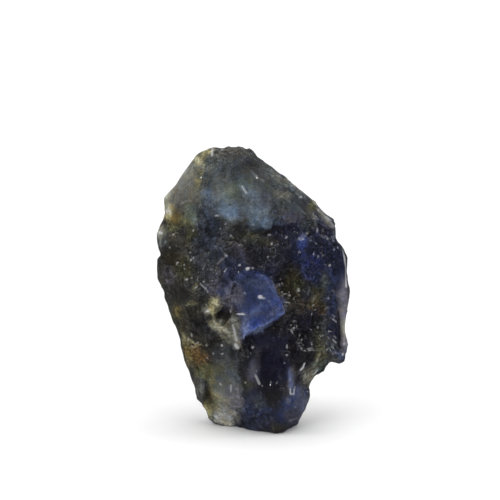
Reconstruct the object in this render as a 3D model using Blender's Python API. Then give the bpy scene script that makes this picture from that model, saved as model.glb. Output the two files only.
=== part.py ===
"""A rough sapphire: one broken, water-worn crystal that stands on a small flat spot.

Lengths are millimetres until the last step, which scales the stone to metres.
The stone is described on a face plane that leans back a little, with two measures on it:
across, to the right, and up. Relief is how far the surface stands out from the stone's middle.
"""

import bpy
import numpy as np
from math import cos, hypot, pi, radians, sin, tan
from mathutils import Vector, noise

MM = 0.001

# Driving dimensions
FACE_LEAN = radians(14)
MIDDLE = 1.0            # the middle sheet stands this far behind the foot of the face plane
RIM_WIDTH = 0.8         # the very edge is rounded over this width
RIM_RELIEF = 1.5        # and reaches this relief on each side
PAST_END_GAIN = 1.2     # a side facet rises by this past the ends of its line
GRID_STEP = 0.05
GRID_LOW = (-7.4, -3.0)
GRID_SIZE = (296, 480)
RAY_CENTRE = (0.0, 1.2, 10.0)
RAY_SPREAD = (6.7, 4.4, 10.0)
BODY_TRIANGLES = 7600

# The outline on the face plane, clockwise from the top left, as (across, up).
# It runs on below the foot, where the flat spot cuts the stone off.
OUTLINE = (
    (-3.15, 19.35), (-2.70, 19.55), (-1.75, 19.45), (-0.95, 19.55), (-0.30, 19.45), (0.10, 19.25),
    (0.45, 18.85), (0.80, 18.50), (1.40, 18.10), (2.10, 17.60), (2.70, 17.15), (3.35, 16.70),
    (3.90, 16.15), (4.45, 15.70), (4.85, 15.15), (5.30, 14.60), (5.70, 14.10), (5.70, 13.40),
    (5.90, 13.05), (6.30, 12.55), (6.55, 11.95), (6.55, 10.90), (6.70, 9.10), (6.60, 8.00),
    (6.55, 6.90), (6.68, 5.65), (6.75, 5.25), (6.62, 4.68), (6.15, 4.42), (5.50, 4.60),
    (5.10, 4.40), (4.85, 4.00), (4.40, 3.60), (4.15, 3.05), (4.10, 2.20), (3.85, 1.45),
    (3.65, 0.65), (3.30, 0.15), (2.95, -0.30), (2.75, -0.80), (2.60, -2.20), (-2.50, -2.20),
    (-2.75, -0.80), (-2.90, 0.15), (-3.10, 1.10), (-3.52, 1.95), (-3.88, 2.70),
    (-4.20, 3.60), (-4.50, 4.20), (-4.70, 4.95), (-4.85, 5.80), (-5.00, 6.40), (-5.30, 6.95),
    (-5.60, 7.60), (-5.80, 8.50), (-6.05, 9.15), (-6.25, 9.95), (-6.50, 10.55), (-6.55, 11.25),
    (-6.25, 11.85), (-6.30, 12.15), (-6.65, 12.65), (-6.70, 13.45), (-6.60, 13.90), (-6.25, 14.55),
    (-6.05, 15.30), (-6.05, 15.95), (-5.55, 16.50), (-5.15, 17.05), (-4.90, 17.60), (-4.45, 18.25),
    (-3.95, 18.80),
)

# Broad facets, as (across, up, relief there, gain of relief per mm across, gain per mm up).
# The surface is the lowest of them everywhere, so they meet in ridges.
FRONT_FACETS = (
    (0.3, 14.6, 3.70, -0.08, -0.17),    # window
    (-0.5, 18.4, 3.12, 0.00, -0.50),    # crown
    (-3.5, 16.0, 3.35, 0.85, -0.10),    # left shoulder
    (-3.2, 10.0, 3.25, 0.36, -0.05),    # left flank
    (0.0, 10.0, 3.60, -0.02, 0.02),     # middle
    (3.2, 9.5, 3.40, -0.30, 0.03),      # right flank
    (-3.0, 0.27, -0.10, 0.62, 0.72),    # lower left, leaning over the foot
    (2.0, 1.0, 3.30, 0.05, 0.15),       # nose
    (3.1, 4.0, 3.10, -0.80, 0.05),      # lower right
)
BACK_FACETS = (
    (0.6, 11.0, 3.90, 0.14, 0.04),      # parting face
    (-0.5, 17.0, 3.00, 0.16, -0.60),    # crown
    (-3.4, 10.0, 3.50, 0.70, 0.10),     # left flank
    (3.4, 11.5, 3.55, -0.85, -0.12),    # right flank
    (0.2, 4.0, 3.50, -0.12, 0.26),      # heel
    (3.2, 15.4, 2.80, -0.45, -0.85),    # right shoulder
    (3.0, 4.0, 2.90, -0.75, 0.14),      # lower right
    (-3.9, 16.2, 2.60, 0.60, -0.45),    # left shoulder
)

# Side facets stand on straight lines along the outline. Each has the line's two ends, then the
# relief on the line and the gain of relief per mm inwards, for the front and for the back.
SIDE_FACETS = (
    (-3.6, 19.4, 0.2, 19.7, 0.9, 1.6, 0.7, 1.3),     # top
    (0.1, 19.4, 4.0, 16.2, 1.7, 1.7, 0.9, 1.2),      # upper right
    (3.9, 16.4, 5.9, 13.6, 1.5, 1.5, 1.1, 1.5),      # right shoulder
    (5.7, 13.6, 6.75, 11.8, 1.1, 1.4, 0.8, 1.4),     # right corner
    (6.75, 11.8, 6.75, 5.0, 0.9, 1.3, 1.2, 1.0),     # right strip
    (6.7, 5.0, 4.2, 3.1, 1.6, 1.9, 0.6, 1.2),        # notch
    (4.2, 3.1, 3.4, 0.4, 1.4, 1.6, 1.0, 1.3),        # lower right
    (-3.0, 0.2, -4.7, 4.8, 0.7, 1.2, 1.2, 1.7),      # lower left
    (-4.7, 4.8, -6.5, 10.8, 0.8, 1.15, 0.9, 1.2),    # left
    (-6.5, 10.8, -6.75, 13.6, 1.0, 1.3, 1.3, 1.6),   # left corner
    (-6.75, 13.6, -5.4, 16.8, 0.5, 1.0, 0.9, 1.0),   # upper left
    (-5.4, 16.8, -3.4, 19.4, 0.5, 1.15, 0.6, 1.1),   # left shoulder
)

# Raised and sunken parts of the front, as closed outlines of (across, up)
PLATE = (
    (-1.80, 10.85), (-0.14, 10.93), (0.59, 10.93), (1.07, 10.69), (1.53, 10.24), (1.83, 9.72),
    (2.22, 9.17), (2.48, 8.50), (2.40, 8.10), (1.83, 7.55), (1.07, 7.10), (0.31, 6.78),
    (-0.45, 6.50), (-0.75, 6.85), (-0.72, 7.60), (-1.34, 8.90), (-1.80, 10.00),
)
BAND = (
    (-3.3, 13.7), (-2.3, 14.7), (-1.3, 14.3), (-0.1, 13.8), (0.7, 14.0), (1.6, 14.3), (2.7, 14.3),
    (3.4, 14.7), (4.7, 13.7), (3.3, 12.9), (1.6, 11.6), (-0.2, 11.5), (-2.0, 11.8),
)
RECESS = (
    (2.3, 11.6), (3.3, 11.9), (4.6, 11.6), (5.3, 10.2), (5.3, 7.0), (4.4, 5.9), (3.2, 5.6),
    (2.5, 6.6), (2.2, 7.6), (2.6, 8.7), (1.9, 9.2), (1.7, 10.2),
)
HOLLOW = (
    (-0.45, 6.6), (0.8, 6.8), (1.6, 7.3), (2.5, 7.3), (3.3, 5.8), (3.4, 3.9), (2.6, 2.5),
    (0.9, 2.1), (0.1, 2.9), (-0.5, 4.4),
)
SHOULDER = (
    (-6.4, 15.2), (-6.3, 16.2), (-5.2, 17.3), (-4.4, 18.4), (-3.6, 19.3), (-3.25, 17.6),
    (-3.3, 16.0), (-3.9, 15.5), (-5.0, 15.35),
)
FLUTED = (
    (-3.1, 8.1), (-2.2, 7.2), (-0.7, 5.8), (-0.3, 3.0), (-0.5, -1.5), (-2.9, -1.5), (-3.3, 3.5),
)

# Clean patches of the front, as (across, up, half width, half height)
CLEAN_PATCHES = (
    (-0.3, 16.4, 3.4, 2.6), (1.1, 4.4, 1.9, 2.4), (2.6, 1.8, 1.3, 1.8), (-1.9, 3.2, 1.3, 2.8),
    (0.4, 8.8, 1.7, 2.0), (-4.7, 16.7, 1.4, 2.6), (6.3, 8.8, 0.6, 4.2),
)


def mesh_values(items, name):
    values = np.empty(len(items) * 3, np.float32)
    items.foreach_get(name, values)
    return values.reshape(-1, 3).astype(float)


def place(body, points):
    body.data.vertices.foreach_set("co", points.astype(np.float32).ravel())
    body.data.update()


def face_coordinates(points):
    """Across and up on the face plane, and how far behind it, for points in the upright frame."""
    x, y, z = points.T
    up = y * sin(FACE_LEAN) + z * cos(FACE_LEAN)
    behind = y * cos(FACE_LEAN) - z * sin(FACE_LEAN)
    return x, up, behind


def middle_sheet(up):
    """How far behind the face plane the stone's middle sheet is. It stands upright."""
    return MIDDLE - up * tan(FACE_LEAN)


def inset(across, up, outline):
    """How far each place lies inside a closed outline. It is negative outside."""
    nearest = np.full(across.shape, np.inf)
    inside = np.zeros(across.shape, bool)
    for (ax, ay), (bx, by) in zip(outline, outline[1:] + outline[:1]):
        run_x, run_y = bx - ax, by - ay
        share = ((across - ax) * run_x + (up - ay) * run_y) / (run_x**2 + run_y**2)
        share = np.clip(share, 0.0, 1.0)
        distance = np.hypot(across - ax - share * run_x, up - ay - share * run_y)
        nearest = np.minimum(nearest, distance)
        if ay != by:
            crosses = (ay > up) != (by > up)
            inside ^= crosses & (across < ax + (up - ay) / (by - ay) * run_x)
    return np.where(inside, nearest, -nearest)


def eased(value, low, high):
    """Zero below low and one above high, with a smooth change between."""
    share = np.clip((value - low) / (high - low), 0.0, 1.0)
    return share * share * (3 - 2 * share)


def soft_lowest(heights, softness):
    """The lowest of several heights, with the ridges between them slightly rounded."""
    lowest = np.minimum.reduce(heights)
    total = sum(np.exp((lowest - height) / softness) for height in heights)
    return lowest - softness * np.log(total)


def broad_facets(facets, across, up):
    return [
        relief + per_across * (across - at_across) + per_up * (up - at_up)
        for at_across, at_up, relief, per_across, per_up in facets
    ]


def side_facets(across, up, on_back):
    heights = []
    for ax, ay, bx, by, *slopes in SIDE_FACETS:
        length = hypot(bx - ax, by - ay)
        inwards = ((up - ay) * (ax - bx) - (across - ax) * (ay - by)) / length
        along = ((across - ax) * (bx - ax) + (up - ay) * (by - ay)) / length
        past_end = np.maximum(np.maximum(-along, along - length), 0.0)
        relief, gain = slopes[2:] if on_back else slopes[:2]
        heights.append(relief + gain * inwards + PAST_END_GAIN * past_end)
    return heights


def rim_relief(depth_inside):
    share = 1 - np.clip(depth_inside / RIM_WIDTH, 0.0, 1.0)
    rounded = RIM_RELIEF * np.sqrt(np.clip(1 - share**2, 0.0, 1.0))
    return rounded + np.maximum(depth_inside - RIM_WIDTH * 0.5, 0) * 2.5


def plate_step(across, up):
    """The blue plate, which stands out most at its lower right and merges in on its left."""
    tilt = np.clip(0.42 + 0.24 * (across - 0.4) - 0.10 * (up - 8.6), 0.0, 0.85)
    return eased(inset(across, up, PLATE), -0.05, 0.2) * tilt


def band_drop(across, up):
    """A rough band under the window. It is deep along the window's foot and runs out below."""
    return -0.45 * eased(inset(across, up, BAND), -0.05, 0.3) * eased(up, 12.4, 13.9)


def shoulder_step(across, up):
    return 0.18 * eased(inset(across, up, SHOULDER), -0.02, 0.2)


def recess_drop(across, up):
    return -0.95 * eased(inset(across, up, RECESS), -0.05, 0.55)


def hollow_drop(across, up):
    """The sunken part under the plate, with a smooth bowl in it between two low swellings."""
    sunk = -0.5 * eased(inset(across, up, HOLLOW), -0.1, 0.45)
    turned_across = (across - 1.3) + 0.12 * (up - 4.4)
    from_bowl = np.hypot(turned_across / 1.15, (up - 4.4) / 1.6)
    bowl = -0.65 * np.clip(1 - from_bowl**2, 0.0, 1.0)
    beside = 1 - 0.9 * np.clip((up - 4.6) / 1.2, 0.0, 1.0)
    swelling = 0.34 * np.exp(-((from_bowl - 1.15) / 0.22) ** 2) * beside
    return sunk + bowl + swelling


def ledge_drop(across, up):
    """The facet at the lower left lies below a slanting ledge."""
    return -0.4 * eased(inset(across, up, FLUTED), -0.1, 0.3)


def flutes(across, up):
    """Uneven upright grooves in the facet at the lower left."""
    share = eased(inset(across, up, FLUTED), 0.0, 0.5)
    wander = across + 0.06 * up
    coarse = np.sin(2 * pi * wander / 0.83 + 1.4 * np.sin(0.55 * up))
    fine = np.sin(2 * pi * wander / 0.47 + 2.1 * np.sin(0.40 * up + 1.0))
    return share * (0.035 * coarse + 0.022 * fine)


def strip_groove(across, up):
    """A slit that parts the lower half of the strip along the right edge from the face."""
    middle = 6.0 + 0.05 * np.sin(up * 0.9)
    along = eased(up, 5.2, 5.8) * eased(-up, -9.0, -8.3)
    return -0.45 * np.exp(-((across - middle) / 0.13) ** 2) * along


def strip_fold(across, up):
    """The strip itself, rounded like a fold."""
    along = eased(up, 5.4, 6.4) * eased(-up, -12.4, -11.2)
    return 0.28 * np.exp(-((across - 6.36) / 0.24) ** 2) * along


def lump(across, up, at_across, at_up, width, height, relief):
    from_top = np.hypot((across - at_across) / width, (up - at_up) / height)
    return relief * np.clip(1 - from_top**2, 0.0, 1.0) ** 0.8


def spur(across, up, start, end, width, relief):
    """A low ridge along a straight line."""
    run, rise = end[0] - start[0], end[1] - start[1]
    share = ((across - start[0]) * run + (up - start[1]) * rise) / (run**2 + rise**2)
    share = np.clip(share, 0.0, 1.0)
    distance = np.hypot(across - start[0] - share * run, up - start[1] - share * rise)
    return relief * np.exp(-(distance / width) ** 2)


def lumps(across, up):
    return (
        lump(across, up, 2.55, 1.7, 1.2, 1.6, 0.45)
        + lump(across, up, 0.6, 0.9, 1.1, 1.0, 0.25)
        + lump(across, up, 5.95, 5.15, 0.85, 0.65, 0.5)
        + lump(across, up, -2.7, 8.5, 0.6, 0.75, 0.4)
        + lump(across, up, -5.6, 13.1, 0.9, 0.8, 0.35)
        + lump(across, up, -4.6, 9.4, 1.0, 1.2, 0.3)
        - lump(across, up, -5.3, 11.4, 0.9, 0.7, 0.5)
        - lump(across, up, -3.5, 7.2, 0.9, 0.9, 0.35)
        - lump(across, up, -1.9, 8.0, 0.55, 0.65, 0.55)
        + spur(across, up, (-2.9, 7.6), (-0.95, 5.9), 0.4, 0.35)
        - lump(across, up, 4.4, 14.2, 0.7, 0.5, 0.3)
        + lump(across, up, 4.1, 11.9, 0.9, 1.1, 0.25)
    )


def ridge_softness(across, up):
    """Ridges are crisp, and rounder on the nose at the lower right."""
    return 0.05 + 0.28 * eased(-up, -5.5, -3.0) * eased(across, 0.8, 2.2)


def front_relief(across, up):
    facets = broad_facets(FRONT_FACETS, across, up) + side_facets(across, up, False)
    relief = soft_lowest(facets, ridge_softness(across, up))
    for feature in (
        plate_step, band_drop, shoulder_step, recess_drop, hollow_drop, ledge_drop, flutes,
        strip_groove, strip_fold, lumps,
    ):
        relief = relief + feature(across, up)
    return relief


def growth_steps(across, up):
    """Low six-sided terraces round the middle of the back."""
    reach = np.zeros(across.shape)
    for turn in range(6):
        angle = radians(12) + turn * pi / 3
        reach = np.maximum(reach, (across - 0.6) * cos(angle) + (up - 10.2) * sin(angle) * 0.72)
    return -0.16 * np.floor(reach / 0.95)


def shell_break(across, up, at_across, at_up, radius, depth):
    """A shell-shaped break: a shallow bowl with ripples round one side of it."""
    from_middle = np.hypot(across - at_across, up - at_up) / radius
    bowl = np.clip(1 - from_middle**2, 0.0, 1.0)
    from_start = np.hypot(across - at_across - 0.6 * radius, up - at_up - 0.5 * radius)
    ripples = 0.05 * np.sin(2 * pi * from_start / 0.75)
    return -depth * bowl + ripples * eased(bowl, 0.05, 0.4)


def back_relief(across, up):
    facets = broad_facets(BACK_FACETS, across, up) + side_facets(across, up, True)
    relief = soft_lowest(facets, 0.05) + growth_steps(across, up) + 0.2
    relief = relief + shell_break(across, up, -2.6, 14.2, 2.1, 0.75)
    return relief + shell_break(across, up, 2.7, 5.4, 1.7, 0.6)


def relief_grids():
    """Depth inside the outline and both reliefs, worked out once on a fine grid."""
    columns, rows = (np.arange(count) for count in GRID_SIZE)
    across, up = np.meshgrid(columns * GRID_STEP + GRID_LOW[0], rows * GRID_STEP + GRID_LOW[1])
    return np.stack([
        inset(across, up, OUTLINE), front_relief(across, up), back_relief(across, up),
    ])


def looked_up(grids, across, up):
    """The grids' values at any place, blended from the four points round it."""
    column = np.clip((across - GRID_LOW[0]) / GRID_STEP, 0, GRID_SIZE[0] - 1.001)
    row = np.clip((up - GRID_LOW[1]) / GRID_STEP, 0, GRID_SIZE[1] - 1.001)
    left, low = column.astype(int), row.astype(int)
    right_share, high_share = column - left, row - low
    below = grids[:, low, left] * (1 - right_share) + grids[:, low, left + 1] * right_share
    above = grids[:, low + 1, left] * (1 - right_share) + grids[:, low + 1, left + 1] * right_share
    return below * (1 - high_share) + above * high_share


def is_inside(points, grids):
    across, up, behind = face_coordinates(points)
    depth_inside, front, back = looked_up(grids, across, up)
    rim = rim_relief(depth_inside)
    front = soft_lowest([front, rim], 0.08)
    back = soft_lowest([back, rim], 0.08)
    from_middle = behind - middle_sheet(up)
    return (depth_inside > 0) & (from_middle > -front) & (from_middle < back)


def surface_reach(directions):
    """How far from the ray centre the stone's surface is, along each direction."""
    grids = relief_grids()
    steps = np.linspace(0.5, 14.0, 110)
    reach = np.full(len(directions), steps[0])
    going = np.ones(len(directions), bool)
    centre = np.array(RAY_CENTRE)
    for step in steps[1:]:
        going[going] = is_inside(centre + directions[going] * step, grids)
        reach[going] = step
    low, high = reach, reach + (steps[1] - steps[0])
    for _ in range(10):
        half = (low + high) / 2
        held = is_inside(centre + directions * half[:, None], grids)
        low = np.where(held, half, low)
        high = np.where(held, high, half)
    return low


def chipped(point, cell, depth):
    """Small flat chips: each cell of a scattered pattern is tilted its own way."""
    at = noise.voronoi(point / cell)[1][0]
    tilt = noise.cell_vector(at * 7.3) - Vector((0.5, 0.5, 0.5))
    return max(-1.0, min(1.0, (point / cell - at).dot(tilt) * 2.2)) * depth


def smoothness(across, up, on_front):
    """How smooth each place is, from zero on broken ground to one on clean facets."""
    smooth = np.zeros(across.shape)
    for at_across, at_up, width, height in CLEAN_PATCHES:
        from_middle = np.hypot((across - at_across) / width, (up - at_up) / height)
        smooth = np.maximum(smooth, np.clip(2.2 - 2 * from_middle, 0.0, 1.0))
    return np.where(on_front, smooth, 0.45)


def roughness(point, smooth):
    """How far a place moves along its normal: broad unevenness, chips and a fine grain."""
    rough = 1 - 0.8 * smooth
    move = 0.16 * noise.noise(point / 2.2) * (0.6 + 0.4 * rough)
    move += 0.10 * rough * noise.noise(point / 0.9 + Vector((9, 3, 5)))
    move += chipped(point + Vector((3, 1, 8)), 2.5, 0.20 * rough)
    move += chipped(point, 1.2, 0.15 * rough)
    return move - 0.05 * rough


def roughen(body):
    points = mesh_values(body.data.vertices, "co")
    normals = mesh_values(body.data.vertices, "normal")
    across, up, behind = face_coordinates(points)
    smooth = smoothness(across, up, behind < middle_sheet(up))
    moves = [roughness(Vector(point), share) for point, share in zip(points, smooth)]
    place(body, points + normals * np.array(moves)[:, None])


def crystal_body():
    """An icosphere whose points are pushed out along rays to the stone's surface."""
    bpy.ops.mesh.primitive_ico_sphere_add(subdivisions=7, radius=1.0)
    body = bpy.context.object
    body.name = "sapphire"
    body.data.name = "sapphire"
    spread = mesh_values(body.data.vertices, "co") * np.array(RAY_SPREAD)
    directions = spread / np.linalg.norm(spread, axis=1, keepdims=True)
    place(body, np.array(RAY_CENTRE) + directions * surface_reach(directions)[:, None])
    roughen(body)
    return body


def foot_cutter():
    """A block whose top is the plane the stone stands on."""
    bpy.ops.mesh.primitive_cube_add(size=1.0, location=(0.0, 1.0, -3.0))
    cutter = bpy.context.object
    cutter.name = "foot_cutter"
    cutter.data.name = "foot_cutter"
    cutter.scale = (24.0, 24.0, 6.0)
    cutter.hide_render = True
    cutter.display_type = "WIRE"
    return cutter


def crystal_material():
    """Dark blue-grey corundum with a glassy shine."""
    material = bpy.data.materials.new("crystal")
    material.use_nodes = True
    shader = material.node_tree.nodes["Principled BSDF"]
    shader.inputs["Base Color"].default_value = (0.055, 0.062, 0.098, 1.0)
    shader.inputs["Roughness"].default_value = 0.28
    shader.inputs["IOR"].default_value = 1.77
    return material


def shape(body, cutter):
    """Thins the mesh to flat faces and cuts the foot flat."""
    thin = body.modifiers.new("thin", "DECIMATE")
    thin.ratio = BODY_TRIANGLES / len(body.data.polygons)
    foot = body.modifiers.new("foot", "BOOLEAN")
    foot.operation = "DIFFERENCE"
    foot.solver = "EXACT"
    foot.object = cutter


def stand_at_origin(body, cutter):
    """Puts the middle of the stone's box over the origin and scales it to metres."""
    bpy.context.view_layer.update()
    corners = [Vector(corner) for corner in body.evaluated_get(
        bpy.context.evaluated_depsgraph_get()).bound_box]
    middle = (corners[0] + corners[6]) / 2
    aside = Vector((middle.x, middle.y, 0.0))
    for item in (body, cutter):
        item.location = (item.location - aside) * MM
        item.scale = item.scale * MM


def gather(name, items):
    collection = bpy.data.collections.new(name)
    bpy.context.scene.collection.children.link(collection)
    for item in items:
        for holder in list(item.users_collection):
            holder.objects.unlink(item)
        collection.objects.link(item)


def main():
    for existing in list(bpy.data.objects):
        bpy.data.objects.remove(existing)
    body = crystal_body()
    body.data.materials.append(crystal_material())
    cutter = foot_cutter()
    shape(body, cutter)
    stand_at_origin(body, cutter)
    gather("rough_sapphire", [body])
    gather("cutters", [cutter])


main()
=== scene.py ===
"""The looks of a rough sapphire: one dark, half-clear crystal standing on a pale floor.

The stone's front is described in millimetres on a face plane that leans back with the camera:
across, to the right, and up. The crystal's surface is refined in millimetres and scaled to metres.
"""

from math import cos, radians, sin, tan

import bpy
import numpy as np
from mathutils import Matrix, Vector, noise
from mathutils.bvhtree import BVHTree


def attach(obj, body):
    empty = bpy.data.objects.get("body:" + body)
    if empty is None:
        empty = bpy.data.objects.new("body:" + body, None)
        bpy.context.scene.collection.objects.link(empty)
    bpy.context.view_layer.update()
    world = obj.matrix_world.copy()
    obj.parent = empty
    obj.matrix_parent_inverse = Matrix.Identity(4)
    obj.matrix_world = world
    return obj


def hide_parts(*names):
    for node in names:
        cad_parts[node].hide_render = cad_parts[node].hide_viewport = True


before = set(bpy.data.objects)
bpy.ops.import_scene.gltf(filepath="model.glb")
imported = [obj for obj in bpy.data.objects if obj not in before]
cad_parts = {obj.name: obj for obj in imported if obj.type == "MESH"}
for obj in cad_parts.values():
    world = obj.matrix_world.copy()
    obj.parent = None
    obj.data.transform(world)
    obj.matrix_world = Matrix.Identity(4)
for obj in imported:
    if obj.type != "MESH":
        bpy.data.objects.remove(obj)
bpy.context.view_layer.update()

MM = 0.001

# Where the face plane lies
FACE_LEAN = radians(14)
ASIDE = (0.13615, 0.92895)      # how far its foot is from the origin, in x and y
MIDDLE = 1.0                    # the front ends this far behind the foot

# The camera
CAMERA_DISTANCE = 0.40
PIXELS_PER_MM = 14.5
FRAME_PIXELS = 500
SENSOR = 36.0
AIM = (-0.103, 12.414, -2.2)    # across, up and behind, at the middle of the picture

# The surface
VOXEL = 0.08
HIDDEN_CLEAN = 0.45             # how clean the hidden sides are
CLEAN_ROUNDS = 10               # rounds of smoothing of the clean faces
WEAR = 0.6                      # how far a round moves a point towards its neighbours' middle
RELIEF_LOST = 0.85              # the share of the relief that a clean face lacks
RELIEF_STARTS = (0.02, 0.35)    # the relief sets in between these heights above the floor

# The relief, each kind with how far it stands out and how wide it is, in mm
WAVE_HEIGHT, WAVE_SIZE = 0.035, 0.6
CHIP_HEIGHT, CHIP_SIZE = 0.05, 0.9
GRAIN_HEIGHT, GRAIN_SIZE = 0.02, 0.3
SKIN_HEIGHT, SKIN_SIZE = 0.006, 0.25
CHIP_STEEPNESS = 2.4
CHIP_ORIGIN = Vector((4, 1, 7))

# What each point gets, with its rounds of averaging
THIN = 2.5                      # stone thinner than this is painted with a glow, as of light coming through
JUST_INSIDE = 0.02              # the thickness is measured from this far under the surface
THIN_ROUNDS = 3
FACING_ROUNDS = 4
EDGE_ROUNDS = (2, 6)            # the first give the near surroundings, all give the far ones
COLOUR_ROUNDS = 5

# The front's colours and painted glints fade out behind its middle, and where the surface
# turns away: painted glints sooner than colours
MIDDLE_FADE = (-0.8, 0.3)
COLOUR_FADE = (0.0, 0.25)
GLINT_FADE = (0.1, 0.5)

# Clean patches of the front, as (across, up, half width, half height)
CLEAN_PATCHES = (
    (-0.7, 16.4, 2.9, 2.5), (1.2, 4.0, 2.0, 2.8), (2.6, 1.8, 1.3, 1.8), (-1.9, 3.2, 1.3, 2.8),
    (0.4, 8.8, 1.7, 2.0), (-4.7, 16.7, 1.4, 2.6), (6.3, 8.8, 0.6, 4.2), (3.0, 15.3, 1.1, 1.0),
)
# Patches that are worn smoother still, each with its rounds of smoothing
SMOOTHEST = (((1.5, 3.6, 1.7, 2.4), 40), ((-3.6, 16.9, 0.9, 1.2), 60))

# Closed outlines of single faces of the front, as (across, up)
PLATE = (
    (-1.80, 10.85), (-0.14, 10.93), (0.59, 10.93), (1.07, 10.69), (1.53, 10.24), (1.83, 9.72),
    (2.22, 9.17), (2.48, 8.50), (2.40, 8.10), (1.83, 7.55), (1.07, 7.10), (0.31, 6.78),
    (-0.45, 6.50), (-0.75, 6.85), (-0.72, 7.60), (-1.34, 8.90), (-1.80, 10.00),
)
SHOULDER = (
    (-6.9, 15.2), (-6.7, 16.2), (-5.6, 17.8), (-4.8, 18.8), (-3.7, 19.6), (-3.25, 17.6),
    (-3.3, 16.0), (-3.9, 15.75), (-5.0, 15.55),
)
WEDGE = (
    (-2.95, 7.50), (-2.55, 7.75), (-1.50, 7.45), (-1.30, 7.75), (-0.98, 6.90), (-0.82, 5.75),
    (-1.02, 5.65), (-1.40, 6.00), (-1.95, 6.35), (-2.50, 6.85),
)

# The stone's colours, in sRGB from 0 to 255
BLACK = (24, 22, 32)
MIDNIGHT = (27, 26, 46)
COAL = (33, 33, 38)
BROWN = (48, 41, 25)
UMBER = (68, 61, 48)
MOSS = (62, 62, 40)
DARK_OLIVE = (52, 51, 44)
OLIVE = (92, 91, 66)
RUST = (108, 84, 50)
AMBER = (110, 96, 54)
SAND = (158, 152, 112)
NAVY = (34, 38, 60)
SLATE = (50, 56, 68)
SLATE_BLUE = (50, 57, 84)
DEEP_BLUE = (34, 41, 84)
BLUE = (52, 64, 106)
BRIGHT_BLUE = (62, 77, 138)
PALE_BLUE = (112, 124, 162)
MILK = (106, 123, 142)
SMOKE = (68, 73, 76)
VIOLET = (78, 76, 90)
LILAC = (116, 114, 124)
WARM_GREY = (80, 77, 70)
GREY = (90, 95, 96)
SHOULDER_GREY = (104, 104, 98)
GREEN_GREY = (98, 107, 98)
PALE = (136, 135, 124)
WHITE = (186, 186, 180)

# The plate fades in between these places across
PLATE_FADE = (-2.2, -0.4)

# Marks of the front, painted in this order. Each has its middle across and up, its half width
# and half height, its turn in degrees, how soft its edge is, how strong it is, and its colour.
GROUNDS = (
    (3.6, 9.0, 4.0, 8.0, 0, 0.5, 1.0, NAVY),
    (-0.4, 12.4, 3.2, 2.0, 0, 0.7, 0.9, COAL),
    (-4.4, 9.0, 2.2, 4.5, 8, 0.6, 0.9, DARK_OLIVE),
    (2.6, 5.0, 3.2, 3.4, 0, 0.6, 1.0, COAL),
    (-2.7, 12.2, 1.2, 3.0, 5, 0.8, 0.8, SLATE),
)
TOP_MARKS = (
    # crown
    (-0.9, 18.1, 2.7, 1.7, 0, 0.6, 1.0, SMOKE),
    (-1.6, 19.1, 1.6, 0.45, 3, 0.8, 0.8, WARM_GREY),
    (0.6, 17.7, 0.9, 0.6, -35, 0.8, 0.8, WARM_GREY),
    (-0.1, 18.2, 0.5, 0.4, 0, 0.9, 0.7, COAL),
    (-1.0, 18.4, 0.9, 0.4, 0, 0.9, 0.4, COAL),
    (-2.7, 17.7, 0.5, 0.9, 10, 0.9, 0.8, GREY),
    # window
    (-0.5, 15.8, 2.8, 1.7, -5, 0.6, 1.0, GREY),
    (-1.1, 16.5, 0.9, 0.6, 20, 0.9, 0.9, GREEN_GREY),
    (0.0, 16.2, 0.7, 0.4, -40, 0.9, 0.6, MILK),
    (0.9, 15.9, 0.5, 0.5, 0, 0.9, 0.6, VIOLET),
    (-3.1, 16.0, 0.5, 1.0, 0, 0.8, 0.8, SMOKE),
    (-1.9, 15.4, 0.5, 0.7, 30, 0.9, 0.5, MILK),
    (-1.4, 15.0, 0.7, 0.5, -15, 0.7, 1.0, MILK),
    (0.5, 15.0, 0.85, 0.55, -5, 0.8, 0.8, MILK),
    (0.7, 14.2, 0.8, 0.35, 5, 0.9, 0.9, MILK),
    (-0.65, 15.2, 0.22, 0.7, -8, 0.9, 0.7, SMOKE),
    (2.0, 15.2, 0.6, 0.9, -20, 0.9, 0.7, SLATE),
    (1.05, 14.7, 0.25, 0.5, 0, 0.9, 0.6, SMOKE),
    (2.6, 14.9, 0.4, 0.4, 0, 0.9, 0.5, SLATE),
    (1.6, 16.6, 0.8, 0.5, -35, 0.8, 0.7, SMOKE),
    # chamfer at the upper right
    (2.9, 15.3, 1.3, 0.8, -40, 0.8, 0.9, SMOKE),
    (2.9, 14.6, 0.9, 0.4, -10, 0.9, 0.7, VIOLET),
    (1.5, 17.5, 1.0, 0.4, -38, 0.6, 0.9, GREY),
    (1.9, 17.3, 0.9, 0.25, -38, 0.8, 0.7, PALE),
    (3.0, 16.6, 1.2, 0.3, -38, 0.8, 0.9, GREY),
    (2.4, 16.45, 0.35, 0.15, -30, 0.9, 0.7, COAL),
    (2.2, 16.2, 0.5, 0.2, -10, 0.9, 0.7, PALE),
    (4.2, 15.4, 0.35, 0.5, -20, 0.9, 0.9, OLIVE),
    (4.0, 14.3, 0.6, 0.4, 0, 0.9, 0.8, GREY),
    (5.1, 14.6, 0.8, 0.22, -50, 0.7, 0.8, PALE),
    (4.9, 13.8, 0.35, 0.3, 0, 0.9, 0.8, BLACK),
    (3.8, 13.3, 0.5, 0.3, 0, 0.9, 0.7, COAL),
)
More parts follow.
